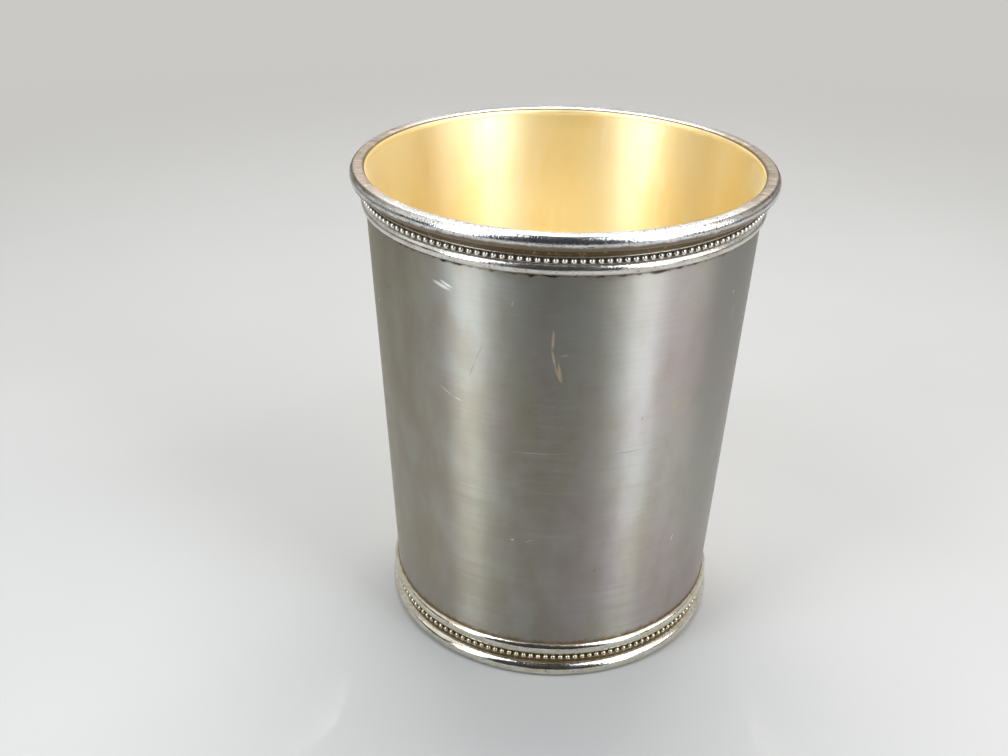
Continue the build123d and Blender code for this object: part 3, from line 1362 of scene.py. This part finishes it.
@dataclass
class Studio:
    """The pale floor, the soft lamps and the dim room."""

    floor_size: float = 8.0
    floor_colour: str = "#B5B4B1"
    floor_shade: str = "#AFAEAB"
    mottle: Span = (60.0, 60.0)
    backdrop_colour: str = "#CAC9C6"
    room_colour: str = "#3E3F42"
    floor_end: Range = (170.0, 560.0)  # out from the cup, where the backdrop takes over from the floor
    lamps: tuple[SoftBox, ...] = (
        SoftBox("left_soft_box", -51.0, 34.0, 0.46, 0.15, 0.56, 4.9, "#EEF6FF"),
        SoftBox("right_soft_box", 48.5, 34.0, 0.46, 0.15, 0.56, 4.6, "#EEF6FF"),
        SoftBox("left_fill_light", -82.0, 40.0, 0.50, 0.24, 0.50, 0.7, "#FFFFFA"),
        SoftBox("right_fill_light", 76.0, 36.0, 0.50, 0.26, 0.56, 1.8, "#FFFAFA"),
        SoftBox("back_soft_box", 180.0, 66.0, 0.70, 0.60, 0.50, 4.6, "#FFFFFF"),
        SoftBox("inside_lamp", 180.0, 53.0, 0.70, 0.03, 0.03, 15.0, "#FFFFFF", 5.0, 1.0),
        SoftBox("backdrop_light", 180.0, 38.0, 1.70, 1.60, 0.80, 1.4, "#FFFFFF"),
    )

    def build_floor(self, sizes: CupSizes) -> None:
        """Lays the floor, with a mottle too faint to draw the eye, fading into the backdrop far away.

        Args:
            sizes: The cup's sizes.
        """
        floor = new_piece("studio_floor", bpy.ops.mesh.primitive_plane_add, size=self.floor_size)
        sheet = FinishSheet("paper_backdrop_matt", sizes)
        colour = sheet.coats(self.floor_colour, (sheet.clouds(self.mottle), self.floor_shade))
        paper = sheet.add("BsdfPrincipled", None,
                          named={"Base Color": colour, "Roughness": 0.9, "Specular IOR Level": 0.1})
        gone = sheet.add(*FADE, sheet.radius, *self.floor_end)
        gone = sheet.add(*TIMES, gone, sheet.add("LightPath", output="Is Camera Ray"))
        backdrop = sheet.add("Emission", None, linear(self.backdrop_colour), 1.0)
        surface = sheet.add("MixShader", None, gone, paper, backdrop)
        sheet.add("OutputMaterial", None, surface)
        floor.data.materials.append(sheet.material)

    def build_room(self) -> None:
        """Makes the dim room, pale where the eye looks and where the metal mirrors what is behind the cup."""
        room = bpy.data.worlds.new("studio_room")
        room.use_nodes = True
        sheet = NodeSheet(room.node_tree)
        way = sheet.add("TexCoord", output="Generated")
        inward = sheet.add("SeparateXYZ", None, way, output="Y")
        behind = sheet.add(*FADE, inward, -0.1, 0.3)
        rays = ("Camera", "Glossy", "Transmission")
        seen, glossy, through = [sheet.add("LightPath", output=f"Is {ray} Ray") for ray in rays]
        mirrored = sheet.add(*LARGER, glossy, through)
        mirrored = sheet.add(*TIMES, mirrored, behind)
        pale = sheet.add(*LARGER, seen, mirrored)
        colour = sheet.coats(self.room_colour, (pale, self.backdrop_colour))
        sheet.add("OutputWorld", None, sheet.add("Background", None, colour, 1.0))
        bpy.context.scene.world = room

    def build(self, sizes: CupSizes) -> None:
        """Lays the floor, hangs the lamps and sets the room's own light.

        Args:
            sizes: The cup's sizes.
        """
        self.build_floor(sizes)
        for lamp in self.lamps:
            lamp.build(sizes)
        self.build_room()
        bpy.context.scene.view_settings.view_transform = "Standard"


@dataclass(frozen=True)
class PhotoCamera:
    """The camera at the photograph's place, fitted to the cup's edges in it."""

    back: float = 209.1 * MM
    up: float = 160.18 * MM
    pitch: float = 28.036  # degrees below level
    roll: float = 0.784  # degrees
    yaw: float = -2.929  # degrees, negative to the left
    focal_pixels: float = 1149.6
    frame_width: int = 1008
    sensor: float = 36.0

    def build(self) -> None:
        """Sets the camera up."""
        pitch, yaw, roll = [math.radians(angle) for angle in (self.pitch, self.yaw, self.roll)]
        turn = (Matrix.Rotation(-yaw, 3, "Z") @ Matrix.Rotation(math.pi / 2 - pitch, 3, "X")
                @ Matrix.Rotation(roll, 3, "Z"))
        bpy.ops.object.camera_add(location=(0.0, -self.back, self.up), rotation=turn.to_euler())
        camera = bpy.context.active_object
        camera.name = "photo_camera"
        camera.data.sensor_width = self.sensor
        camera.data.lens = self.sensor * self.focal_pixels / self.frame_width
        camera.data.clip_start = 0.01
        camera.data.clip_end = 30.0
        bpy.context.scene.camera = camera


def main() -> None:
    """Builds the cup piece by piece, then the studio and the camera."""
    logging.basicConfig(level=logging.INFO, format="%(name)s: %(message)s")
    sizes = CupSizes.from_frame()
    for assembly in (CupBody(sizes), GiltInside(sizes), LipBorder(sizes), FootBorder(sizes)):
        for piece in assembly.build():
            log.info("%s: %d faces", piece.name, len(piece.data.polygons))
    Studio().build(sizes)
    PhotoCamera().build()


if __name__ == "__main__":
    main()
